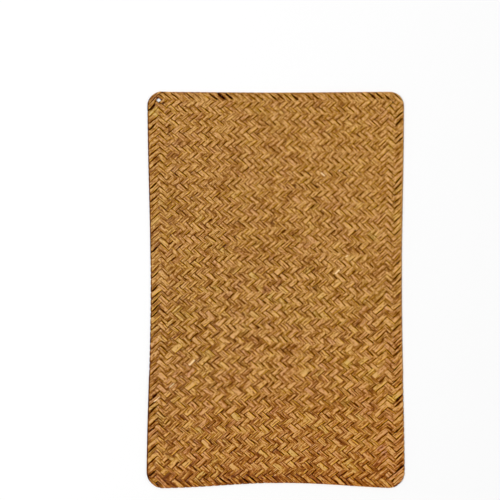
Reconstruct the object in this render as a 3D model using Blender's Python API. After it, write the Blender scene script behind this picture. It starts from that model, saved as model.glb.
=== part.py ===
"""A placemat plaited in one piece from flat natural straw strips.

The mat lies flat, face up. +Y is its long way, +X its short way and +Z is up. The origin is the middle
of its underside. Its strips fold back round the edge, so the sheet has a rounded rim and no binding.
Its long sides draw in a little at mid-length, its lower end bows inwards and its corners are round.
"""

import math

import bpy

# Sizes in metres
WIDTH = 0.293
LENGTH = 0.450
THICKNESS = 0.0022
RIM_ROUND = 0.0007

# Round corners, of the upper end (+Y) and of the lower end (-Y)
UPPER_CORNER = 0.016
LOWER_CORNER = 0.019

# How the hand-plaited outline departs from a rectangle
LEFT_DRAW_IN = 0.0041
RIGHT_DRAW_IN = 0.0029
UPPER_BOW = 0.0008
LOWER_BOW = 0.0062
LOWER_BOW_OFFSET = 0.010
UPPER_TAPER = 0.0010

# Points along the outline
CORNER_STEPS = 7
LONG_SIDE_STEPS = 14
SHORT_SIDE_STEPS = 12
RIM_STEPS = 2

# Finish
STRAW_COLOUR = (0.485, 0.242, 0.061, 1.0)
STRAW_ROUGHNESS = 0.55


def clear_scene():
    """Removes the objects that the new file came with."""
    for obj in list(bpy.data.objects):
        bpy.data.objects.remove(obj, do_unlink=True)


def new_collection(name):
    """Makes a collection in the scene."""
    collection = bpy.data.collections.new(name)
    bpy.context.scene.collection.children.link(collection)
    return collection


def straw_material():
    """Makes the finish of dried, natural straw."""
    material = bpy.data.materials.new("natural_straw")
    material.use_nodes = True
    shader = material.node_tree.nodes["Principled BSDF"]
    shader.inputs["Base Color"].default_value = STRAW_COLOUR
    shader.inputs["Roughness"].default_value = STRAW_ROUGHNESS
    shader.inputs["Metallic"].default_value = 0.0
    return material


def corner_arc(centre_x, centre_y, radius, start_angle):
    """Gives the points of a quarter circle, counter-clockwise, both ends included."""
    points = []
    for step in range(CORNER_STEPS + 1):
        angle = start_angle + step / CORNER_STEPS * math.pi / 2
        points.append((centre_x + radius * math.cos(angle), centre_y + radius * math.sin(angle)))
    return points


def between(start, end, steps):
    """Gives the inner points of a straight side cut into equal steps."""
    points = []
    for step in range(1, steps):
        share = step / steps
        x = start[0] + (end[0] - start[0]) * share
        y = start[1] + (end[1] - start[1]) * share
        points.append((x, y))
    return points


def rounded_rectangle():
    """Gives the outline before the mat is drawn in and bowed, counter-clockwise."""
    half_x = WIDTH / 2
    half_y = LENGTH / 2
    upper_x = half_x - UPPER_CORNER
    upper_y = half_y - UPPER_CORNER
    lower_x = half_x - LOWER_CORNER
    lower_y = half_y - LOWER_CORNER
    upper_right = corner_arc(upper_x, upper_y, UPPER_CORNER, 0.0)
    upper_left = corner_arc(-upper_x, upper_y, UPPER_CORNER, math.pi / 2)
    lower_left = corner_arc(-lower_x, -lower_y, LOWER_CORNER, math.pi)
    lower_right = corner_arc(lower_x, -lower_y, LOWER_CORNER, math.pi * 3 / 2)
    return (
        upper_right
        + between(upper_right[-1], upper_left[0], SHORT_SIDE_STEPS)
        + upper_left
        + between(upper_left[-1], lower_left[0], LONG_SIDE_STEPS)
        + lower_left
        + between(lower_left[-1], lower_right[0], SHORT_SIDE_STEPS)
        + lower_right
        + between(lower_right[-1], upper_right[0], LONG_SIDE_STEPS)
    )


def hump(position):
    """Gives 1 at 0 and falls smoothly to 0 at -1 and 1."""
    return math.cos(math.pi / 2 * position) ** 2


def drawn_in(point):
    """Moves a point of the plain rectangle to where it lies on the hand-plaited mat."""
    x, y = point
    across = x / (WIDTH / 2)
    along = y / (LENGTH / 2)
    upper = (1 + along) / 2
    lower = (1 - along) / 2
    uneven = (RIGHT_DRAW_IN - LEFT_DRAW_IN) / 2 * across**2
    even = (RIGHT_DRAW_IN + LEFT_DRAW_IN) / 2 * across
    x -= (uneven + even) * hump(along) + UPPER_TAPER * across * upper
    y += LOWER_BOW * hump(across - LOWER_BOW_OFFSET / (WIDTH / 2)) * lower**3
    y -= UPPER_BOW * hump(across) * upper**3
    return x, y


def centred(points):
    """Moves the outline so that its box has its middle at the origin."""
    xs = [x for x, y in points]
    ys = [y for x, y in points]
    middle_x = (min(xs) + max(xs)) / 2
    middle_y = (min(ys) + max(ys)) / 2
    return [(x - middle_x, y - middle_y) for x, y in points]


def add_mat(collection):
    """Makes the one flat sheet, resting on its underside at z = 0."""
    outline = centred([drawn_in(point) for point in rounded_rectangle()])
    curve = bpy.data.curves.new("mat", "CURVE")
    curve.dimensions = "2D"
    curve.fill_mode = "BOTH"
    curve.extrude = THICKNESS / 2 - RIM_ROUND
    curve.bevel_depth = RIM_ROUND
    curve.bevel_resolution = RIM_STEPS
    curve.offset = -RIM_ROUND
    spline = curve.splines.new("POLY")
    spline.points.add(len(outline) - 1)
    for spline_point, (x, y) in zip(spline.points, outline):
        spline_point.co = (x, y, 0.0, 1.0)
    spline.use_cyclic_u = True
    curve.materials.append(straw_material())
    mat = bpy.data.objects.new("mat", curve)
    mat.location = (0.0, 0.0, THICKNESS / 2)
    collection.objects.link(mat)
    return mat


def main():
    """Builds the placemat."""
    clear_scene()
    add_mat(new_collection("straw_placemat"))


main()
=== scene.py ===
"""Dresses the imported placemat: a flat mat plaited in a diagonal twill from flat natural straw strips.

The strips run over two and under two at about 40 degrees to the short sides. At every edge they fold
round and run back beneath, so that one path of strip, laid end to end, fills the whole mat. The path is
followed here from fold to fold, every crossing gets its level, and the path is then built as four long
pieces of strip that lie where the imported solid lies.
"""

import logging
import math
from dataclasses import dataclass, field
from enum import Enum

import bpy
import numpy as np
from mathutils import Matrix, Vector


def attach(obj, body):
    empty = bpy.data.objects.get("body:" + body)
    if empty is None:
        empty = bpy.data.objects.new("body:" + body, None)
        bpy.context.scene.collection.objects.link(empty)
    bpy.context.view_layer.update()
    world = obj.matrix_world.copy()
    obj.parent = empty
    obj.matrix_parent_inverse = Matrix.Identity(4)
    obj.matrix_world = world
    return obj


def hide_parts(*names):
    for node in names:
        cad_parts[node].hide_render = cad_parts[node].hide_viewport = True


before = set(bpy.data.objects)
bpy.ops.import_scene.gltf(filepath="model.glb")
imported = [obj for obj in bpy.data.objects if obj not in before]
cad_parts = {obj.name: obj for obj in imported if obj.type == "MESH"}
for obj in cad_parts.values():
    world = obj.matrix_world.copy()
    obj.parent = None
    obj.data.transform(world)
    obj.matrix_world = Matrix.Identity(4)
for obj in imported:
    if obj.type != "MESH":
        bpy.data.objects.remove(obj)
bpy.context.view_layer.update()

LOG = logging.getLogger("placemat")
BODY = "root"
CAD_NODE = "mat"

Array = np.ndarray
Pair = tuple[Array, Array]
Span = tuple[float, float]
Colour = tuple[float, float, float]


class Lay(Enum):
    """The way in which a strip runs, seen from above with the tighter corners at the top."""

    RISING = "rising to the right"
    FALLING = "falling to the right"


class Turn(Enum):
    """What the strip does at the end of a leg."""

    SIDE_FOLD = "folds at a long side"
    END_FOLD = "folds at a short side"
    CORNER_END = "ends tucked in at a corner"


def smooth_ramp(values: Array, start: float, end: float) -> Array:
    """Rises smoothly from 0 at start to 1 at end."""
    share = np.clip((values - start) / (end - start), 0.0, 1.0)
    return share * share * (3.0 - 2.0 * share)


def smoothed(values: Array, reach: int) -> Array:
    """Averages each value of a row with its neighbours.

    Args:
        values: Numbers in one row.
        reach: How many neighbours count on either side.

    Returns:
        A row of the same length.
    """
    window = np.ones(2 * reach + 1) / (2 * reach + 1)
    return np.convolve(np.pad(values, reach, mode="edge"), window, mode="valid")


def stacked(*parts: Array) -> Array:
    """Puts numbers side by side along a new last axis."""
    return np.stack(np.broadcast_arrays(*parts), axis=-1)


@dataclass(frozen=True)
class Outline:
    """The mat's outline in metres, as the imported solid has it.

    It is a rectangle with round corners, whose long sides draw in at mid-length and whose ends bow
    inwards, the lower one more.
    """

    width: float = 0.293
    length: float = 0.450
    upper_corner: float = 0.016
    lower_corner: float = 0.019
    left_draw_in: float = 0.0041
    right_draw_in: float = 0.0029
    upper_bow: float = 0.0008
    lower_bow: float = 0.0062
    lower_bow_offset: float = 0.010
    upper_taper: float = 0.0010

    def place(self, x: Array, y: Array) -> Pair:
        """Moves points of a plain rectangular sheet to where they lie on the mat."""
        return self.drawn_in(*self.with_round_corners(x, y))

    def with_round_corners(self, x: Array, y: Array) -> Pair:
        """Bends the square corners of a sheet round, and the rows of strips near them.

        Args:
            x: Places across the rectangular sheet, from its middle.
            y: Places along the rectangular sheet, from its middle.

        Returns:
            The places across and along the sheet with round corners.
        """
        radius = np.where(y < 0.0, self.lower_corner, self.upper_corner)
        middle_x = np.sign(x) * (self.width / 2 - radius)
        middle_y = np.sign(y) * (self.length / 2 - radius)
        across = np.maximum((x - middle_x) * np.sign(x) / radius, 0.0)
        along = np.maximum((y - middle_y) * np.sign(y) / radius, 0.0)
        inside = (across > 0.0) & (along > 0.0)
        new_across = across * np.sqrt(1.0 - along**2 / 2)
        new_along = along * np.sqrt(1.0 - across**2 / 2)
        return (
            np.where(inside, middle_x + np.sign(x) * radius * new_across, x),
            np.where(inside, middle_y + np.sign(y) * radius * new_along, y),
        )

    def drawn_in(self, x: Array, y: Array) -> Pair:
        """Draws the long sides in and bows the ends, as part.py does for the solid."""
        across = x / (self.width / 2)
        along = y / (self.length / 2)
        upper = (1.0 + along) / 2
        lower = (1.0 - along) / 2
        uneven = (self.right_draw_in - self.left_draw_in) / 2 * across**2
        even = (self.right_draw_in + self.left_draw_in) / 2 * across
        new_x = x - (uneven + even) * self.hump(along) - self.upper_taper * across * upper
        low_bow = self.lower_bow * self.hump(across - self.lower_bow_offset / (self.width / 2))
        new_y = y + low_bow * lower**3 - self.upper_bow * self.hump(across) * upper**3
        return new_x, new_y

    @staticmethod
    def hump(position: Array) -> Array:
        """Gives 1 at 0 and falls smoothly to 0 at -1 and 1."""
        return np.cos(math.pi / 2 * position) ** 2


@dataclass(frozen=True)
class Leg:
    """One straight stretch of strip from one edge of the mat to another.

    Columns and rows count half strips from the upper left corner, columns to the right and rows down.
    """

    col: int
    row: int
    right: int
    down: int
    steps: int
    first_step: int
    start: Turn
    end: Turn
    side_sign: int
    face_sign: int

    @property
    def lay(self) -> Lay:
        """The way in which this leg runs."""
        return Lay.RISING if self.right != self.down else Lay.FALLING

    @property
    def number(self) -> int:
        """The strip's number among those of its lay, counted from left to right."""
        return strip_number(self.lay, self.col, self.row)

    @property
    def sideways(self) -> tuple[int, int]:
        """Columns and rows to the next half strip towards higher numbers."""
        return (1, 1) if self.lay is Lay.RISING else (1, -1)

    def skew(self, turn: Turn) -> int:
        """Says which edge of the strip is later at a fold, 1 or -1."""
        return self.right if turn is Turn.END_FOLD else -self.right

    def place(self, along: Array) -> Pair:
        """Gives the columns and rows at places along the leg, in half strips from its start."""
        return self.col + self.right * along, self.row + self.down * along


def strip_number(lay: Lay, col: int | Array, row: int | Array) -> int | Array:
    """Gives the number of the strip of a lay that passes a crossing."""
    return (col + row - 1) // 2 if lay is Lay.RISING else (col - row - 1) // 2


@dataclass(frozen=True)
class Hole:
    """A place where four strips are spread apart, in half strips from the upper left corner."""

    col: int = 3
    row: int = 3
    reach: float = 3.0
    slide_left: float = 0.0020
    slide_up: float = 0.0028
    slide_reach: float = 0.008


@dataclass(frozen=True)
class Splinter:
    """A pale raw splinter along one edge of a strip, in half strips from the upper left corner."""

    col: float
    row: float
    lay: Lay
    length: float

    @property
    def number(self) -> int:
        """The number of the strip that it lies on."""
        across = self.col + self.row if self.lay is Lay.RISING else self.col - self.row
        return round((across - 1) / 2)


@dataclass(frozen=True)
class Stain:
    """A patch where the straw is lighter, darker or of another hue, in half strips as for a hole."""

    col: float
    row: float
    reach: float
    light: float
    hue: float

    def strength(self, col: Array, row: Array) -> Array:
        """Gives 1 in the middle of the patch, falling to 0 outside it."""
        away = np.hypot(col - self.col, row - self.row)
        return 1.0 - smooth_ramp(away, 0.6 * self.reach, 1.2 * self.reach)


@dataclass(frozen=True)
class Wave:
    """A slow wave in the rows of strips: radians down, across and at the start, and its size."""

    down: float
    across: float
    start: float
    size: float

    def at(self, across: Array, down: Array) -> Array:
        """Gives the wave's height at shares of the way across and down the mat."""
        return self.size * np.sin(self.down * down + self.across * across + self.start)


@dataclass(frozen=True)
class Slit:
    """A place where the line between two strips gapes or is held shut, in half strips as for a hole."""

    col: float
    row: float
    lay: Lay
    length: float
    half_gap: float
    # The last field is how dark the painted shade in the slit's line is.
    depth: float

    @property
    def line(self) -> int:
        """The number of the strip on the lower side of the line."""
        across = self.col + self.row if self.lay is Lay.RISING else self.col - self.row
        return round(across / 2) - 1

    def openness(self, number: Array, col: Array, row: Array) -> Array:
        """Gives 1 on the slit's own line at its middle, falling to 0 at its ends and on other lines."""
        away = np.hypot(col - self.col, row - self.row) / math.sqrt(2)
        open_here = 1.0 - smooth_ramp(away, 0.3 * self.length, 0.6 * self.length)
        return np.where(number == self.line, open_here, 0.0)


@dataclass(frozen=True)
class TwillPlan:
    """Which strip lies on top at each crossing, and the order of the legs."""

    columns: int = 70
    rows: int = 123
    border: int = 7
    corner_zone: int = 3
    long_corner: int = 7
    repeat: int = 4
    falling_rows: tuple[int, int] = (1, 2)
    outer_floats: int = 2
    inner_floats: int = 4

    def from_edge(self, col: Array, row: Array) -> Array:
        """Gives how far places are from the nearest edge, in half strips."""
        from_side = np.minimum(col, self.columns - col)
        return np.minimum(from_side, np.minimum(row, self.rows - row))

    def lay_on_top(self, col: int, row: int) -> Lay:
        """Says which strip shows on the upper side of a crossing or fold.

        Args:
            col: Half strips from the left edge.
            row: Half strips from the upper edge.

        Returns:
            The lay of the strip on top.
        """
        from_side = min(col, self.columns - col)
        from_end = min(row, self.rows - row)
        at_left = col <= self.columns // 2
        at_top = row <= self.rows // 2
        if from_side + from_end <= self.long_corner and not at_left and not at_top:
            return Lay.RISING if from_side - from_end <= 1 else Lay.FALLING
        if from_side + from_end <= self.corner_zone:
            return Lay.RISING if at_left == at_top else Lay.FALLING
        if from_side < self.border and from_side <= from_end:
            return self.lay_in_border(col, row, from_side, at_left)
        if from_end == 0:
            return Lay.FALLING
        return Lay.FALLING if row % self.repeat in self.falling_rows else Lay.RISING

    def lay_in_border(self, col: int, row: int, from_side: int, at_left: bool) -> Lay:
        """Says which strip is on top in the columns of floats that run down a long side."""
        if from_side <= self.outer_floats:
            return Lay.RISING
        if from_side <= self.inner_floats:
            return Lay.FALLING
        odd_strip = strip_number(Lay.RISING, col, row) % 2 == 1
        if from_side == self.border - 1 and at_left and odd_strip:
            return Lay.FALLING
        return Lay.RISING

    def legs(self) -> list[Leg]:
        """Follows the strip from the lower left corner, fold by fold, to the lower right one.

        Returns:
            Every leg in order.
        """
        col, row, right, down = 0, self.rows, 1, -1
        start, side_sign, face_sign, done = Turn.CORNER_END, 1, 1, 0
        found = []
        while True:
            room_across = self.columns - col if right > 0 else col
            room_down = self.rows - row if down > 0 else row
            steps = min(room_across, room_down)
            if room_across == room_down:
                end = Turn.CORNER_END
            else:
                end = Turn.SIDE_FOLD if room_across < room_down else Turn.END_FOLD
            found.append(Leg(col, row, right, down, steps, done, start, end, side_sign, face_sign))
            if end is Turn.CORNER_END:
                return found
            col += right * steps
            row += down * steps
            done += steps
            start, face_sign = end, -face_sign
            if end is Turn.SIDE_FOLD:
                right, side_sign = -right, -side_sign
            else:
                down = -down


@dataclass
class HandOfMaker:
    """The unevenness of hand plaiting: widths, gaps, heights, tilts and tones, and the painted shade in
    the gaps.
    """

    plan: TwillPlan
    seed: int = 41
    uneven_widths: float = 0.19
    uneven_from_row: float = 20.0
    uneven_to_row: float = 90.0
    wander: float = 0.080
    calm_edge: float = 2.0
    gap: float = 0.007
    gap_spread: float = 0.75
    gap_limits: Span = (0.004, 0.34)
    # How dark the painted shade in the lines between strips is: its middle, spread and limits, more of
    # it near the border and less at the very edge.
    depth: float = 0.6
    gap_shade_spread: float = 0.32
    gap_shade_limits: Span = (0.1, 1.1)
    slit_shade_limits: Span = (0.03, 3.0)
    border_gap: float = 0.004
    border_shade: float = 0.36
    border_shade_spread: float = 0.55
    border_middle: float = 1.3
    border_reach: float = 1.4
    closing_reach: float = 0.8
    closed_shade: float = 0.3
    tilt: float = 0.00008
    lift: float = 0.00004
    slits: tuple[Slit, ...] = (
        Slit(67.4, 118.6, Lay.RISING, 5.0, 0.05, 2.3),
        Slit(68.4, 119.6, Lay.RISING, 3.4, 0.006, 0.2),
        Slit(69.0, 121.0, Lay.RISING, 2.4, 0.006, 0.2),
        Slit(66.9, 121.1, Lay.RISING, 1.8, 0.05, 2.2),
        Slit(1.5, 118.5, Lay.RISING, 2.2, 0.05, 2.4),
        Slit(63.5, 1.5, Lay.FALLING, 2.4, 0.02, 1.8),
        Slit(66.3, 2.3, Lay.FALLING, 3.0, 0.03, 2.1),
        Slit(61.4, 1.4, Lay.FALLING, 2.0, 0.02, 1.7),
        Slit(69.0, 7.0, Lay.RISING, 2.0, 0.02, 1.7),
        Slit(3.0, 3.0, Lay.RISING, 2.0, 0.33, 1.2),
        Slit(3.0, 3.0, Lay.FALLING, 2.0, 0.33, 1.2),
        Slit(1.2, 4.8, Lay.RISING, 2.2, 0.05, 2.4),
        Slit(19.0, 1.0, Lay.FALLING, 2.4, 0.05, 2.6),
        Slit(21.2, 1.2, Lay.FALLING, 2.4, 0.04, 2.5),
    )
    tables: dict[tuple[str, Lay], Array] = field(init=False)
    rows_of_steps: dict[str, Array] = field(init=False)
    strip_light: Array = field(init=False)
    strip_hue: Array = field(init=False)

    def __post_init__(self) -> None:
        """Draws every random table once, in a fixed order."""
        rng = np.random.default_rng(self.seed)
        side = self.plan.columns + 2 * self.plan.rows
        steps = self.plan.columns * self.plan.rows + 1
        self.tables = {}
        for lay in Lay:
            for name, reach in (("wander", 2), ("gap", 1)):
                table = rng.normal(0.0, math.sqrt(2 * reach + 1), (side, side))
                self.tables[name, lay] = np.apply_along_axis(smoothed, 1, table, reach)
        self.rows_of_steps = {
            "tilt": smoothed(rng.normal(0.0, self.tilt * math.sqrt(3), steps), 1),
            "lift": smoothed(rng.normal(0.0, self.lift * math.sqrt(3), steps), 1),
            "light": rng.normal(0.0, 1.0, steps),
            "hue": rng.normal(0.0, 1.0, steps),
        }
        legs = 2 * (self.plan.columns + self.plan.rows)
        self.strip_light = rng.normal(0.0, 1.0, legs)
        self.strip_hue = rng.normal(0.0, 1.0, legs)

    def coarseness(self, row: Array) -> Array:
        """Gives 0 in the even upper part of the mat, rising to 1 in its uneven lower part."""
        return smooth_ramp(row, self.uneven_from_row, self.uneven_to_row)

    def at_step(self, name: str, step: Array) -> Array:
        """Reads a row of steps, also between whole steps."""
        values = self.rows_of_steps[name]
        return np.interp(step, np.arange(len(values)), values)

    @staticmethod
    def wide_or_narrow(number: Array) -> Array:
        """Gives 1 for a wide strip and -1 for a narrow one."""
        return np.where(np.asarray(number) % 2 == 1, 1.0, -1.0)

    def calm(self, col: Array, row: Array) -> Array:
        """Gives 1 inside the mat, falling to 0 at its edges, where the folds have to meet."""
        return np.clip(self.plan.from_edge(col, row) / self.calm_edge, 0.0, 1.0)

    @staticmethod
    def along_line(lay: Lay, col: Array, row: Array) -> Array:
        """Gives how far along the lines of a lay places are, in strips of the other lay."""
        return (col - 1 - row) / 2 if lay is Lay.RISING else (col + row - 1) / 2

    def look_up(self, name: str, lay: Lay, number: Array, along: Array) -> Array:
        """Reads a table of the lines between strips.

        Args:
            name: Which table.
            lay: The lay of the strips.
            number: The number of the strip on the lower side of the line.
            along: How far along the line, in strips of the other lay.

        Returns:
            One number for each place.
        """
        table = self.tables[name, lay]
        line = np.asarray(number) + self.plan.rows
        spot = np.asarray(along) + self.plan.rows
        low = np.floor(spot).astype(int)
        share = spot - low
        return table[line, low] * (1.0 - share) + table[line, low + 1] * share

    def line_shift(self, lay: Lay, number: Array, col: Array, row: Array) -> Array:
        """Gives how far the line between a strip and the next lies from halfway, in strips."""
        chance = self.look_up("wander", lay, number, self.along_line(lay, col, row))
        uneven = self.wide_or_narrow(number) * self.uneven_widths * self.coarseness(row) / 2
        return self.wander * chance * self.calm(col, row) + uneven

    def between(self, lay: Lay, number: Array, col: Array, row: Array) -> Pair:
        """Describes the gap between a strip and the next.

        Args:
            lay: The lay of the strips.
            number: The number of the strip on the lower side of the gap.
            col: Half strips from the left edge.
            row: Half strips from the upper edge.

        Returns:
            Half the gap in strips, and how dark the painted shade in it is, from 0.03 to 3.
        """
        chance = self.look_up("gap", lay, number, self.along_line(lay, col, row))
        from_edge = self.plan.from_edge(col, row)
        at_border = np.clip(1.0 - np.abs(from_edge - self.border_middle) / self.border_reach, 0.0, 1.0)
        width = (self.gap + self.border_gap * at_border) * np.exp(self.gap_spread * chance)
        depth = np.clip(self.depth + self.gap_shade_spread * chance, *self.gap_shade_limits)
        depth += (self.border_shade + self.border_shade_spread * chance) * at_border
        closing = smooth_ramp(from_edge, 0.0, self.closing_reach)
        width *= closing
        depth *= self.closed_shade + (1.0 - self.closed_shade) * closing
        for slit in self.slits:
            if slit.lay is lay:
                open_here = slit.openness(number, col, row)
                width += (slit.half_gap - width) * open_here
                depth += (slit.depth - depth) * open_here
        return np.clip(width, *self.gap_limits), np.clip(depth, *self.slit_shade_limits)


@dataclass
class Sections:
    """The corner points of a row of cross-sections, with what the finish reads at each of them."""

    points: Array
    strip: Array
    tone: Array
    depth: Array

    def part(self, start: int, stop: int) -> "Sections":
        """Gives the cross-sections from start up to and with stop."""
        return Sections(*(values[start : stop + 1] for values in vars(self).values()))

    @staticmethod
    def joined(parts: list["Sections"]) -> "Sections":
        """Puts rows of cross-sections one after another."""
        return Sections(*map(np.concatenate, zip(*(vars(part).values() for part in parts))))


@dataclass
class PlaitedSheet:
    """The whole mat as one path of strip, with the shape of every cross-section along it."""

    outline: Outline = field(default_factory=Outline)
    plan: TwillPlan = field(default_factory=TwillPlan)
    hole: Hole = field(default_factory=Hole)
    strip_thickness: float = 0.00060
    layer_height: float = 0.00047
    crown: float = 0.00009
    proud: float = 0.00010
    thin_edge: float = 0.86
    section_across: tuple[float, ...] = (-1.0, -0.94, 0.0, 0.94, 1.0, 0.94, 0.0, -0.94)
    section_face: tuple[float, ...] = (0.0, 1.0, 1.0, 1.0, 0.0, -1.0, -1.0, -1.0)
    level_change: float = 0.25
    section_step: float = 0.22
    fine_step: float = 0.173
    under_reach: float = 0.12
    fold_sections: int = 5
    cut_clearance: int = 4
    # Painted shade along the mat's left edge, and how far in it reaches.
    left_shade: float = 0.60
    left_shade_reach: float = 0.35
    upper_shade: float = 0.8
    upper_shade_rows: Span = (2.5, 0.5)
    lower_shade: float = 2.0
    lower_shade_rows: Span = (7.0, 1.5)
    float_light: float = 0.13
    coarse_float_light: float = 0.48
    strip_light: float = 0.06
    # Painted shade by width: how much darker a strip is for each share of a strip that it is narrower
    # than usual.
    usual_width: float = 0.97
    width_shade: float = 1.5
    coarse_width_shade: float = 4.0
    float_hue: float = 0.28
    coarse_float_hue: float = 0.30
    strip_hue: float = 0.14
    tone_range: float = 8.0
    coarse_left: float = 0.0050
    lower_drift: float = 0.0040
    wobble: float = 0.00080
    waves_across: tuple[Wave, ...] = (Wave(9.1, 4.0, 0.6, 1.0), Wave(21.0, -13.0, 0.0, 0.6))
    waves_along: tuple[Wave, ...] = (Wave(5.0, 7.3, 2.1, 1.0), Wave(19.0, 17.0, 0.0, 0.6))
    splinters: tuple[Splinter, ...] = (
        Splinter(47.4, 26.8, Lay.FALLING, 2.4),
        Splinter(51.4, 24.6, Lay.FALLING, 1.0),
        Splinter(54.9, 50.2, Lay.RISING, 1.9),
        Splinter(51.2, 55.2, Lay.RISING, 1.4),
        Splinter(6.4, 90.7, Lay.RISING, 1.9),
        Splinter(8.6, 88.7, Lay.RISING, 0.9),
        Splinter(11.1, 83.8, Lay.RISING, 1.9),
        Splinter(2.0, 95.0, Lay.RISING, 1.6),
    )
    stains: tuple[Stain, ...] = (
        Stain(68.4, 119.8, 2.8, 5.8, -1.6),
        Stain(1.5, 6.0, 1.4, 0.6, 2.4),
        Stain(2.0, 1.6, 1.4, -0.2, -2.0),
        Stain(32.0, 61.6, 1.5, -0.6, -2.4),
        Stain(35.4, 59.2, 1.3, -0.5, -1.5),
        Stain(30.5, 61.5, 1.2, 0.4, 1.6),
        Stain(33.0, 63.4, 1.2, 0.3, 1.2),
        Stain(37.0, 59.7, 1.2, 0.4, 1.2),
        Stain(61.8, 44.0, 1.5, 0.6, 2.0),
        Stain(23.7, 3.1, 2.2, -0.4, 1.2),
        Stain(54.9, 85.0, 1.5, 1.0, 2.8),
        Stain(62.1, 87.2, 1.5, 0.8, 2.8),
        Stain(54.5, 96.9, 1.6, 0.8, 2.8),
        Stain(67.4, 95.3, 1.6, 0.6, 2.6),
        Stain(3.4, 101.8, 2.2, 0.2, 1.6),
        Stain(64.4, 111.4, 1.6, 1.2, -2.2),
    )

    def __post_init__(self) -> None:
        """Works out what follows from the sizes."""
        self.hand = HandOfMaker(self.plan)
        self.rim = self.layer_height + self.strip_thickness / 2
        self.col_pitch = (self.outline.width - 2 * self.rim) / self.plan.columns
        self.row_pitch = (self.outline.length - 2 * self.rim) / self.plan.rows
        self.pitch = 2 * self.col_pitch * self.row_pitch / math.hypot(self.col_pitch, self.row_pitch)
        self.across = np.array(self.section_across)
        self.face = np.array(self.section_face)
        taper = np.where(np.abs(self.across) > 0.5, self.thin_edge, 1.0)
        self.offset = self.strip_thickness / 2 * self.face * taper

    def build(self) -> Sections:
        """Shapes every cross-section of the path.

        Returns:
            The sections from the lower left corner to the lower right one.
        """
        parts = []
        for order, leg in enumerate(self.plan.legs()):
            stations = self.stations(leg)
            parts.append(self.sections(leg, order, stations, np.zeros(len(stations))))
            if leg.end is not Turn.CORNER_END:
                angles = np.arange(1, self.fold_sections + 1) / (self.fold_sections + 1) * math.pi
                parts.append(self.sections(leg, order, np.full(len(angles), float(leg.steps)), angles))
        whole = Sections.joined(parts)
        middles = whole.points.mean(axis=1)
        lengths = np.linalg.norm(np.diff(middles, axis=0), axis=1)
        whole.strip[:, :, 0] = np.concatenate(([0.0], np.cumsum(lengths)))[:, None]
        whole.points[:, :, 2] -= whole.points[:, :, 2].min()
        return whole

    def levels(self, leg: Leg) -> Array:
        """Gives 1 where a leg lies on top and -1 where it lies beneath, for each crossing."""
        tops = [self.plan.lay_on_top(*leg.place(step)) for step in range(leg.steps + 1)]
        return np.array([1.0 if top is leg.lay else -1.0 for top in tops])

    def changes(self, leg: Leg) -> Array:
        """Gives where between two crossings a leg changes level, just beneath the covering strip."""
        step = np.arange(leg.steps)
        other = Lay.FALLING if leg.lay is Lay.RISING else Lay.RISING
        number = strip_number(other, *leg.place(step))
        line = number if leg.right > 0 else number - 1
        at_line = 0.5 + leg.right * self.hand.line_shift(other, line, *leg.place(step + 0.5))
        return at_line - self.under_reach * np.diff(self.levels(leg)) / 2

    def stations(self, leg: Leg) -> Array:
        """Gives where along a leg its cross-sections lie, in half strips from its start."""
        step = np.arange(leg.steps)
        change = step + self.changes(leg)
        before = change - self.section_step
        after = change + self.section_step
        fine = np.arange(0.0, leg.steps, self.fine_step)
        col, row = leg.place(fine)
        near_hole = fine[np.hypot(col - self.hole.col, row - self.hole.row) < self.hole.reach]
        found = np.concatenate((step, before, change, after, [leg.steps], near_hole))
        return np.unique(found.round(6))

    def float_start(self, leg: Leg, along: Array) -> Array:
        """Gives the first step of the stretch on one level that each place along a leg belongs to."""
        signs = self.levels(leg)
        differs = np.nonzero(signs[1:] != signs[:-1])[0]
        starts = np.concatenate(([0], differs + 1))
        return starts[np.searchsorted(differs + self.changes(leg)[differs], along)]

    def level_along(self, leg: Leg, along: Array) -> Array:
        """Gives a leg's level from 1, on top, to -1, beneath, at places along it."""
        signs = self.levels(leg)
        step = np.clip(np.floor(along).astype(int), 0, leg.steps - 1)
        share = (step + self.changes(leg)[step] - along) / self.level_change
        bend = np.sin(math.pi / 2 * np.clip(share, -1.0, 1.0))
        return (signs[step] + signs[step + 1]) / 2 + (signs[step] - signs[step + 1]) / 2 * bend

    def sections(self, leg: Leg, order: int, along: Array, turned: Array) -> Sections:
        """Shapes cross-sections of one leg.

        Args:
            leg: The leg.
            order: Its place in the path.
            along: Half strips from the leg's start, for each section.
            turned: How far round the fold at the leg's end each section lies, in radians.

        Returns:
            The sections.
        """
        col, row = leg.place(along)
        side = leg.side_sign * self.across
        numbers = np.full(len(along), leg.number)
        low = self.hand.line_shift(leg.lay, numbers - 1, col, row) - 0.5
        high = self.hand.line_shift(leg.lay, numbers, col, row) + 0.5
        low_gap, low_gap_shade = self.hand.between(leg.lay, numbers - 1, col, row)
        high_gap, high_gap_shade = self.hand.between(leg.lay, numbers, col, row)
        low += low_gap
        high -= high_gap
        aside = ((low + high) / 2)[:, None] + ((high - low) / 2)[:, None] * side
        forward = np.repeat(along[:, None], len(self.across), axis=1)
        for turn, from_turn, sign in ((leg.start, along, 1.0), (leg.end, leg.steps - along, -1.0)):
            weight = np.clip(1.0 - from_turn, 0.0, 1.0)[:, None]
            skew = sign * np.abs(aside) if turn is Turn.CORNER_END else leg.skew(turn) * aside
            forward += skew * weight
        over_col, over_row = leg.sideways
        cols, rows = leg.place(forward)

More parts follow.
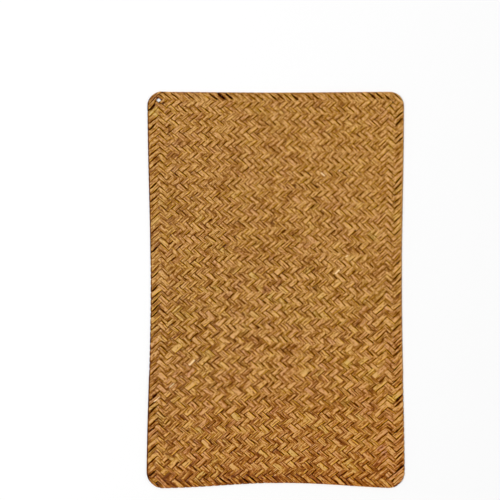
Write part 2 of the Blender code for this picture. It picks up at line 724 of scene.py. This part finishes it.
        level = self.level_along(leg, along)
        calm = self.hand.calm(col, row)
        tilt = self.hand.at_step("tilt", leg.first_step + along) * calm
        lift = self.hand.at_step("lift", leg.first_step + along) * calm
        wide = self.hand.wide_or_narrow(numbers) * self.hand.coarseness(row)
        centre = (self.layer_height + self.proud * wide)[:, None] - self.crown * self.across**2
        roll = side * tilt[:, None]
        face = leg.face_sign * self.offset
        at_fold = np.sign(level)[:, None]
        away = centre + at_fold * face
        round_fold = turned[:, None]
        flat_height = level[:, None] * centre + face + roll + lift[:, None]
        height = np.where(round_fold > 0.0, at_fold * away * np.cos(round_fold), flat_height)
        out = away * np.sin(round_fold)
        none = np.zeros_like(out)
        past = (out * leg.right, none) if leg.end is Turn.SIDE_FOLD else (none, -out * leg.down)
        x, y = self.on_mat(cols + over_col * aside, rows + over_row * aside, *past)

        # Shows is 1 on a face that lies on top and 0 on one beneath; the finish paints shade where it is
        # low, and near the left edge left_shade lowers it, painting shade along that edge.
        shows = 0.5 + 0.5 * level[:, None] * leg.face_sign * self.face
        at_left = 1.0 - smooth_ramp(col, 0.0, self.left_shade_reach)
        shows = np.where(round_fold > 0.0, 1.0, shows) - self.left_shade * at_left[:, None]
        # Each point takes the painted shade of the line on its own side of the strip.
        depth = np.where(side > 0.5, high_gap_shade[:, None], ((low_gap_shade + high_gap_shade) / 2)[:, None])
        depth = np.where(side < -0.5, low_gap_shade[:, None], depth)
        light, hue = self.light_and_hue(leg, order, along, high - low)
        tone = stacked(light, hue, shows, self.splintered(leg, along))
        strip = stacked(np.zeros_like(x), self.across, side)
        return Sections(stacked(x, y, height), strip, tone, depth)

    def light_and_hue(self, leg: Leg, order: int, along: Array, width: Array) -> Pair:
        """Gives how light a leg is and its hue, with 0.5 as the middle of both.

        Args:
            leg: The leg.
            order: Its place in the path.
            along: Half strips from the leg's start, for each section.
            width: How wide each section is, in strips.

        Returns:
            The lightness and the hue, each as a column.
        """
        col, row = leg.place(along)
        coarse = self.hand.coarseness(row)
        step = leg.first_step + self.float_start(leg, along)
        light_spread = self.float_light + self.coarse_float_light * coarse
        hue_spread = self.float_hue + self.coarse_float_hue * coarse
        light = light_spread * self.hand.rows_of_steps["light"][step]
        light += self.strip_light * self.hand.strip_light[order]
        # Painted shade and light: narrower strips, sunk between wider ones, are darker, and wider ones
        # lighter.
        light += (self.width_shade + self.coarse_width_shade * coarse) * (width - self.usual_width)
        light -= self.upper_shade * smooth_ramp(row, *self.upper_shade_rows)
        light -= self.lower_shade * smooth_ramp(self.plan.rows - row, *self.lower_shade_rows)
        hue = hue_spread * self.hand.rows_of_steps["hue"][step]
        hue += self.strip_hue * self.hand.strip_hue[order]
        for stain in self.stains:
            strength = stain.strength(col, row)
            light += stain.light * strength
            hue += stain.hue * strength
        return 0.5 + light[:, None] / self.tone_range, 0.5 + hue[:, None] / self.tone_range

    def splintered(self, leg: Leg, along: Array) -> Array:
        """Gives 1 at the points of a leg that a pale splinter covers, else 0."""
        pale = np.zeros((len(along), len(self.across)))
        col, row = leg.place(along)
        edge = (self.across * leg.side_sign > 0.5) & (self.face * leg.face_sign >= 0.0)
        for splinter in self.splinters:
            if splinter.lay is leg.lay and splinter.number == leg.number:
                away = np.hypot(col - splinter.col, row - splinter.row) / math.sqrt(2)
                pale[np.ix_(away < splinter.length / 2, edge)] = 1.0
        return pale

    def on_mat(self, col: Array, row: Array, out_x: Array, out_y: Array) -> Pair:
        """Finds where a place of the plan lies on the mat.

        Args:
            col: Half strips from the left edge.
            row: Half strips from the upper edge.
            out_x: Metres past a fold, across the mat.
            out_y: Metres past a fold, along the mat.

        Returns:
            The places across and along the mat in metres.
        """
        x = -self.outline.width / 2 + self.rim + col * self.col_pitch
        y = self.outline.length / 2 - self.rim - row * self.row_pitch
        shift_x, shift_y = self.drift(col / self.plan.columns, row / self.plan.rows)
        x, y = self.spread_at_hole(x + shift_x, y + shift_y)
        return self.outline.place(x + out_x, y + out_y)

    def drift(self, across: Array, down: Array) -> Pair:
        """Gives how far the strips have slid in the mat's plane, and not across the edges."""
        across = np.clip(across, 0.0, 1.0)
        down = np.clip(down, 0.0, 1.0)
        from_sides = np.sin(math.pi * across)
        from_ends = np.sin(math.pi * down)
        slide = self.coarse_left * (1.0 - down) - self.lower_drift * down**2
        wave_x = sum(wave.at(across, down) for wave in self.waves_across)
        wave_y = sum(wave.at(across, down) for wave in self.waves_along)
        return (slide + self.wobble * wave_x) * from_sides, self.wobble * wave_y * from_ends

    def spread_at_hole(self, x: Array, y: Array) -> Pair:
        """Slides the strips round the hole a little towards the corner."""
        middle_x = -self.outline.width / 2 + self.rim + self.hole.col * self.col_pitch
        middle_y = self.outline.length / 2 - self.rim - self.hole.row * self.row_pitch
        away = np.hypot(x - middle_x, y - middle_y) / self.hole.slide_reach
        near = np.exp(-(away**2))
        return x - self.hole.slide_left * near, y + self.hole.slide_up * near

    def cuts(self, pieces: int) -> list[int]:
        """Chooses the cross-sections at which the path is cut into pieces, each hidden beneath.

        Args:
            pieces: How many pieces.

        Returns:
            The first section of each piece, and the last of all.
        """
        found, first = [0], 0
        steps = self.plan.columns * self.plan.rows
        for leg in self.plan.legs():
            levels = self.levels(leg)
            stations = self.stations(leg)
            wanted = steps * len(found) / pieces
            for step in range(self.cut_clearance, leg.steps - self.cut_clearance):
                if len(found) < pieces and leg.first_step + step >= wanted and levels[step] < 0:
                    found.append(first + int(np.searchsorted(stations, step)))
                    break
            first += len(stations)
            if leg.end is not Turn.CORNER_END:
                first += self.fold_sections
        return [*found, first - 1]


@dataclass(frozen=True)
class StripPiece:
    """One long piece of the strip, as a closed mesh."""

    name: str
    sections: Sections
    map_edge: float = 0.06
    cap_middle: float = 0.998
    cap_reach: float = 0.001

    def build(self, material: bpy.types.Material) -> bpy.types.Object:
        """Joins the cross-sections into a closed mesh and dresses it.

        Args:
            material: The finish.

        Returns:
            The new object, at the origin.
        """
        count, corners = self.sections.points.shape[:2]
        first = np.arange(count - 1)[:, None] * corners
        corner = np.arange(corners)
        after = (corner + 1) % corners
        walls = stacked(first + corner, first + after, first + corners + after, first + corners + corner)
        caps = [corner[::-1].tolist(), ((count - 1) * corners + corner).tolist()]
        mesh = bpy.data.meshes.new(self.name)
        faces = [*walls.reshape(-1, 4).tolist(), *caps]
        mesh.from_pydata(self.sections.points.reshape(-1, 3).tolist(), [], faces)
        mesh.shade_smooth()
        self.sharpen(mesh, corners)
        self.add_attributes(mesh)
        self.add_bake_map(mesh, count, corners)
        mesh.materials.append(material)
        piece = bpy.data.objects.new(self.name, mesh)
        bpy.context.scene.collection.objects.link(piece)
        return piece

    @staticmethod
    def sharpen(mesh: bpy.types.Mesh, corners: int) -> None:
        """Keeps the strip's flat faces flat where they meet its thin edges."""
        ends = np.zeros(2 * len(mesh.edges), dtype=np.int32)
        mesh.edges.foreach_get("vertices", ends)
        first, second = ends.reshape(-1, 2).T % corners
        sharp = mesh.attributes.new("sharp_edge", "BOOLEAN", "EDGE")
        sharp.data.foreach_set("value", (first == second) & (first % 2 == 1))

    def add_attributes(self, mesh: bpy.types.Mesh) -> None:
        """Stores what the finish reads at each point, the painted shade of the lines among it."""
        kinds = (("strip", "_VECTOR", "vector"), ("tone", "_COLOR", "color"), ("depth", "", "value"))
        for name, kind, slot in kinds:
            values = getattr(self.sections, name).ravel().astype(np.float32)
            mesh.attributes.new(name, "FLOAT" + kind, "POINT").data.foreach_set(slot, values)

    def add_bake_map(self, mesh: bpy.types.Mesh, count: int, corners: int) -> None:
        """Lays the unrolled strip out in rows, as a map for baking its colours.

        Args:
            mesh: The mesh with its walls first and its two caps last.
            count: How many cross-sections it has.
            corners: How many corner points a section has.
        """
        along = self.sections.strip[:, 0, 0] - self.sections.strip[0, 0, 0]
        points = self.sections.points
        edges = np.linalg.norm(np.roll(points, -1, axis=1) - points, axis=2).mean(axis=0)
        rows = math.ceil(math.sqrt(along[-1] / (edges.sum() * (1 + 2 * self.map_edge))))
        per_row = math.ceil((count - 1) / rows)
        section = np.arange(count - 1)
        row = section // per_row
        row_start = along[row * per_row]
        ends = [along[min(index * per_row, count - 1)] for index in range(rows + 1)]
        row_length = np.diff(ends).max()
        round_share = np.concatenate(([0.0], np.cumsum(edges))) / edges.sum()
        u_low, u_high = ((along[section + end] - row_start)[:, None] / row_length for end in (0, 1))
        v = (row[:, None] + self.map_edge + (1 - 2 * self.map_edge) * round_share) / rows
        v_low, v_high = v[:, :-1], v[:, 1:]
        wall = ((u_low, v_low), (u_low, v_high), (u_high, v_high), (u_high, v_low))
        places = np.stack([stacked(*place) for place in wall], axis=2).reshape(-1, 2)
        angle = np.arange(corners) / corners * 2 * math.pi
        cap = stacked(np.cos(angle), np.sin(angle)) * self.cap_reach + self.cap_middle
        layer = mesh.uv_layers.new(name="OFBake")
        layer.data.foreach_set("uv", np.concatenate((places, cap, cap)).ravel().astype(np.float32))


class Signal:
    """A socket of a material, on which arithmetic adds Math nodes."""

    def __init__(self, tree: bpy.types.NodeTree, socket: bpy.types.NodeSocket) -> None:
        """Wraps the socket."""
        self.tree = tree
        self.socket = socket

    def maths(self, operation: str, *terms: "Signal | float") -> "Signal":
        """Adds a Math node on the terms and gives its result."""
        node = self.tree.nodes.new("ShaderNodeMath")
        node.operation = operation
        for slot, term in zip(node.inputs, terms):
            Signal.feed(self.tree, slot, term)
        return Signal(self.tree, node.outputs[0])

    @staticmethod
    def feed(tree: bpy.types.NodeTree, slot: bpy.types.NodeSocket, value: object) -> None:
        """Links a signal to a slot, or sets the slot to a plain value."""
        if isinstance(value, Signal):
            tree.links.new(value.socket, slot)
        else:
            slot.default_value = value

    def __add__(self, other: "Signal | float") -> "Signal":
        """Adds."""
        return self.maths("ADD", self, other)

    def __sub__(self, other: "Signal | float") -> "Signal":
        """Subtracts."""
        return self.maths("SUBTRACT", self, other)

    def __rsub__(self, other: float) -> "Signal":
        """Subtracts from a number."""
        return self.maths("SUBTRACT", other, self)

    def __mul__(self, other: "Signal | float") -> "Signal":
        """Multiplies."""
        return self.maths("MULTIPLY", self, other)

    def __pow__(self, power: float) -> "Signal":
        """Raises to a power."""
        return self.maths("POWER", self, power)

    __radd__ = __add__
    __rmul__ = __mul__


class NodeBench:
    """A new material whose nodes are added one by one."""

    def __init__(self, name: str) -> None:
        """Starts the material."""
        self.material = bpy.data.materials.new(name)
        self.material.use_nodes = True
        self.tree = self.material.node_tree
        self.shader = self.tree.nodes["Principled BSDF"]

    def node(self, kind: str, settings: dict, inputs: dict, output: str | int = 0) -> Signal:
        """Adds a node.

        Args:
            kind: The node's type.
            settings: Its settings, and under "stops" a colour ramp's places and colours.
            inputs: Values or signals for its sockets, by name or place.
            output: Which of its results to give.

        Returns:
            The result.
        """
        node = self.tree.nodes.new(kind)
        for name, value in settings.items():
            if name == "stops":
                self.set_stops(node.color_ramp, value)
            else:
                setattr(node, name, value)
        for name, value in inputs.items():
            Signal.feed(self.tree, node.inputs[name], value)
        return Signal(self.tree, node.outputs[output])

    @staticmethod
    def set_stops(ramp: bpy.types.ColorRamp, stops: list[tuple[float, tuple]]) -> None:
        """Gives a colour ramp its stops."""
        while len(ramp.elements) < len(stops):
            ramp.elements.new(0.5)
        for element, (place, colour) in zip(ramp.elements, stops):
            element.position = place
            element.color = (*colour, 1.0)

    def attribute(self, name: str, output: str) -> Signal:
        """Reads what is stored at each point under a name."""
        return self.node("ShaderNodeAttribute", {"attribute_name": name}, {}, output)

    def split(self, kind: str, whole: Signal, outputs: tuple[str, ...]) -> list[Signal]:
        """Takes a vector or a colour apart."""
        return [self.node(kind, {}, {0: whole}, output) for output in outputs]

    def ramp(self, value: Signal, start: float, end: float, kind: str = "SMOOTHSTEP") -> Signal:
        """Rises from 0 where the value is at start to 1 where it is at end."""
        inputs = {"Value": value, "From Min": start, "From Max": end}
        return self.node("ShaderNodeMapRange", {"interpolation_type": kind}, inputs)

    def mix(self, share: object, low: object, high: object, blend: str = "MIX") -> Signal:
        """Blends two colours in the way that is named."""
        settings = {"data_type": "RGBA", "blend_type": blend}
        return self.node("ShaderNodeMix", settings, {0: share, 6: low, 7: high}, 2)

    def finish(self, **inputs: object) -> bpy.types.Material:
        """Feeds the shader's sockets, underscores standing for spaces, and gives the material."""
        for name, value in inputs.items():
            Signal.feed(self.tree, self.shader.inputs[name.replace("_", " ")], value)
        return self.material


@dataclass(frozen=True)
class StrawFinish:
    """Dried natural straw: golden brown and satin, with lengthwise grain, a tone for each strip, and
    painted shade in the lines between strips and where strips pass beneath.
    """

    mauve: Colour = (0.365, 0.165, 0.080)
    umber: Colour = (0.372, 0.150, 0.044)
    tan: Colour = (0.416, 0.184, 0.045)
    gold: Colour = (0.434, 0.204, 0.042)
    olive: Colour = (0.400, 0.212, 0.042)
    yellow: Colour = (0.470, 0.244, 0.040)
    tone_places: tuple[float, ...] = (0.06, 0.22, 0.42, 0.58, 0.76, 0.92)
    raw: Colour = (0.860, 0.620, 0.330)
    cool_tint: Colour = (1.01, 1.04, 1.05)
    warm_tint: Colour = (1.03, 0.83, 0.54)
    right_shade_span: Span = (0.77, 0.83)
    left_shade_span: Span = (0.99, 1.06)
    right_shade_fringe: Span = (0.50, 0.68)
    left_shade_fringe: Span = (0.87, 0.99)
    right_widening: float = 0.10
    left_widening: float = 0.18
    darkest: float = 0.03
    line_brown: float = 0.11
    green_fall: float = 1.45
    blue_fall: float = 2.6
    roughness: float = 0.48
    coat: float = 0.22

    def build(self) -> bpy.types.Material:
        """Makes the material.

        Returns:
            A material that reads the strip's own attributes and the place on the mat.
        """
        bench = NodeBench("natural_straw")
        strip = bench.attribute("strip", "Vector")
        along, across, right = bench.split("ShaderNodeSeparateXYZ", strip, ("X", "Y", "Z"))
        tone = bench.attribute("tone", "Color")
        light, hue, shows = bench.split("ShaderNodeSeparateColor", tone, ("Red", "Green", "Blue"))
        splinter = bench.attribute("tone", "Alpha")
        # How dark the painted shade of the nearest line between strips is.
        depth = bench.attribute("depth", "Fac")
        place = bench.node("ShaderNodeTexCoord", {}, {}, "Object")
        over_mat, up_mat = bench.split("ShaderNodeSeparateXYZ", place, ("X", "Y"))
        lower = bench.ramp(up_mat, 0.20, -0.20, "LINEAR")
        warmth = bench.ramp(up_mat - 0.25 * over_mat, -0.03, -0.24, "LINEAR")

        streaks = self.grain(bench, along * 70.0, across * 2.6, 0.5, 0.0)
        fibres = self.grain(bench, along * 190.0, across * 2.9, 7.5, 0.0)
        specks = self.grain(bench, along * 420.0, across * 3.4, 23.5, 0.0)
        blotches = self.grain(bench, along * 130.0, across * 1.3, 15.5, 2.0)
        patches = bench.node("ShaderNodeTexNoise", {}, {"Vector": place, "Scale": 34.0, "Detail": 2.0})

        tones = (self.mauve, self.umber, self.tan, self.gold, self.olive, self.yellow)
        colour = bench.node(
            "ShaderNodeValToRGB",
            {"stops": list(zip(self.tone_places, tones))},
            {"Fac": hue + (blotches - 0.5) * 0.20 + (patches - 0.5) * 0.36},
        )
        # Painted shade in the lines between strips: dark bands along each strip's edges, wider and
        # darker on its right side, away from the lamp.
        to_right = right + self.right_widening * depth
        to_left = self.left_widening * depth - right
        right_shade_ramp = bench.ramp(to_right, *self.right_shade_span)
        left_shade_ramp = bench.ramp(to_left, *self.left_shade_span)
        # Painted shade where a strip passes beneath another, and along the mat's left edge.
        tucked_shade = bench.ramp(shows, 0.85, 0.45)
        lines = bench.ramp(streaks, 0.42, 0.54)
        value = (0.54 + 1.00 * light) * (1 + 0.36 * over_mat)
        value = value * (1 + (0.42 + 0.30 * lower) * (lines - 0.57))
        value = value * (0.42 + 1.16 * fibres) * (0.10 + 1.80 * specks)
        value = 0.10 + 1.40 * bench.ramp(value, -0.113, 1.713)
        warm_share = warmth * bench.ramp(value, 1.9, 0.8)
        warm = bench.mix(warm_share, (*self.cool_tint, 1.0), (*self.warm_tint, 1.0))
        colour = bench.mix(1.0, colour, warm, "MULTIPLY")
        right_shade_share = right_shade_ramp * bench.ramp(0.47 + 0.60 * depth, 0.0, 1.0)
        left_shade_share = left_shade_ramp * bench.ramp(0.30 + 0.30 * depth + 0.10 * lower, 0.0, 1.0)
        unshaded = (1 - right_shade_share) * (1 - left_shade_share) * (1 - 0.90 * tucked_shade)
        # The painted shade is darkest in the deepest slits and a little lighter in ordinary lines.
        least = self.darkest + self.line_brown * bench.ramp(depth, 2.0, 0.8)
        value = value * (least + (1 - least) * unshaded)
        # Beside the painted shade lines the colour is warmer: a painted fringe of the shade, with less
        # blue and a little more red.
        shade_fringe = bench.ramp(to_right, *self.right_shade_fringe) + bench.ramp(to_left, *self.left_shade_fringe)
        shade_fringe = shade_fringe * bench.ramp(depth, -0.4, 0.8)
        shade = bench.node(
            "ShaderNodeCombineXYZ",
            {},
            {
                "X": value * (1 + 0.08 * shade_fringe),
                "Y": value**self.green_fall,
                "Z": value**self.blue_fall * (1 - 0.82 * shade_fringe),
            },
        )
        colour = bench.mix(1.0, colour, shade, "MULTIPLY")
        colour = bench.mix(bench.ramp(splinter, 0.35, 0.65, "LINEAR"), colour, (*self.raw, 1.0))
        relief = 0.6 * streaks + 0.4 * fibres
        normal = bench.node(
            "ShaderNodeBump", {}, {"Strength": 0.35, "Distance": 0.0002, "Height": relief}, "Normal"
        )
        return bench.finish(
            Base_Color=colour,
            Roughness=self.roughness + 0.16 * streaks,
            Specular_IOR_Level=0.0,
            Coat_Weight=self.coat * unshaded,
            Coat_Roughness=0.35,
            Normal=normal,
        )

    @staticmethod
    def grain(bench: NodeBench, along: Signal, across: Signal, layer: float, detail: float) -> Signal:
        """Adds noise drawn out along the strip."""
        vector = bench.node("ShaderNodeCombineXYZ", {}, {"X": along, "Y": across, "Z": layer})
        return bench.node("ShaderNodeTexNoise", {}, {"Vector": vector, "Scale": 1.0, "Detail": detail})


@dataclass(frozen=True)
class Studio:
    """A pale floor, soft light from above and a camera straight over the mat."""

    view_width: float = 0.5676
    middle_x: float = -0.02905
    middle_y: float = 0.0455
    lens: float = 100.0
    sensor: float = 36.0
    floor_size: float = 8.0
    floor_colour: tuple[float, float, float] = (0.93, 0.93, 0.93)
    sky: float = 0.41
    key_power: float = 555.0
    key_size: float = 3.8
    key_place: tuple[float, float, float] = (-3.8, 1.2, 7.4)

    def build(self) -> None:
        """Sets up the floor, the lights and the camera."""
        bpy.context.scene.view_settings.view_transform = "Standard"
        self.add_floor()
        self.add_light()
        self.add_camera()

    def add_floor(self) -> None:
        """Lays the floor that the mat rests on."""
        bpy.ops.mesh.primitive_plane_add(size=self.floor_size, location=(0.0, 0.0, 0.0))
        floor = bpy.context.object
        floor.name = "floor"
        bench = NodeBench("pale_floor")
        floor.data.materials.append(bench.finish(Base_Color=(*self.floor_colour, 1.0), Roughness=0.9))

    def add_light(self) -> None:
        """Adds an even sky and one broad lamp, high up at the left and a little to the upper end."""
        world = bpy.data.worlds.new("studio")
        world.use_nodes = True
        sky = world.node_tree.nodes["Background"]
        sky.inputs["Color"].default_value = (1.0, 1.0, 1.0, 1.0)
        sky.inputs["Strength"].default_value = self.sky
        bpy.context.scene.world = world
        bpy.ops.object.light_add(type="AREA", location=self.key_place)
        lamp = bpy.context.object
        lamp.name = "soft_key"
        lamp.data.energy = self.key_power
        lamp.data.size = self.key_size
        lamp.rotation_mode = "QUATERNION"
        lamp.rotation_quaternion = Vector(self.key_place).to_track_quat("Z", "Y")

    def add_camera(self) -> None:
        """Adds a long-lens camera that looks straight down."""
        height = self.view_width * self.lens / self.sensor
        bpy.ops.object.camera_add(location=(self.middle_x, self.middle_y, height))
        camera = bpy.context.object
        camera.data.lens = self.lens
        camera.data.sensor_width = self.sensor
        bpy.context.scene.camera = camera


@dataclass(frozen=True)
class Placemat:
    """The finished mat: four long pieces of strip, all in one finish."""

    pieces: int = 4

    def build(self) -> list[tuple[bpy.types.Object, float]]:
        """Plaits the mat, hides the plain solid and attaches each piece to the mat's body.

        Returns:
            The pieces, each with its length of strip in metres.
        """
        sheet = PlaitedSheet()
        sections = sheet.build()
        cuts = sheet.cuts(self.pieces)
        material = StrawFinish().build()
        made = []
        for number, (start, stop) in enumerate(zip(cuts, cuts[1:]), 1):
            part = sections.part(start, stop)
            piece = StripPiece(f"straw_strip_{number}", part).build(material)
            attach(piece, BODY)
            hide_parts(CAD_NODE)
            long = float(part.strip[-1, 0, 0] - part.strip[0, 0, 0])
            long * sheet.pitch
            made.append((piece, long))
        return made


def main() -> None:
    """Builds the mat and its setting."""
    logging.basicConfig(level=logging.INFO, format="%(name)s: %(message)s")
    for piece, long in Placemat().build():
        LOG.info("%s: %.2f m of strip, %d faces", piece.name, long, len(piece.data.polygons))
    Studio().build()


if __name__ == "__main__":
    main()
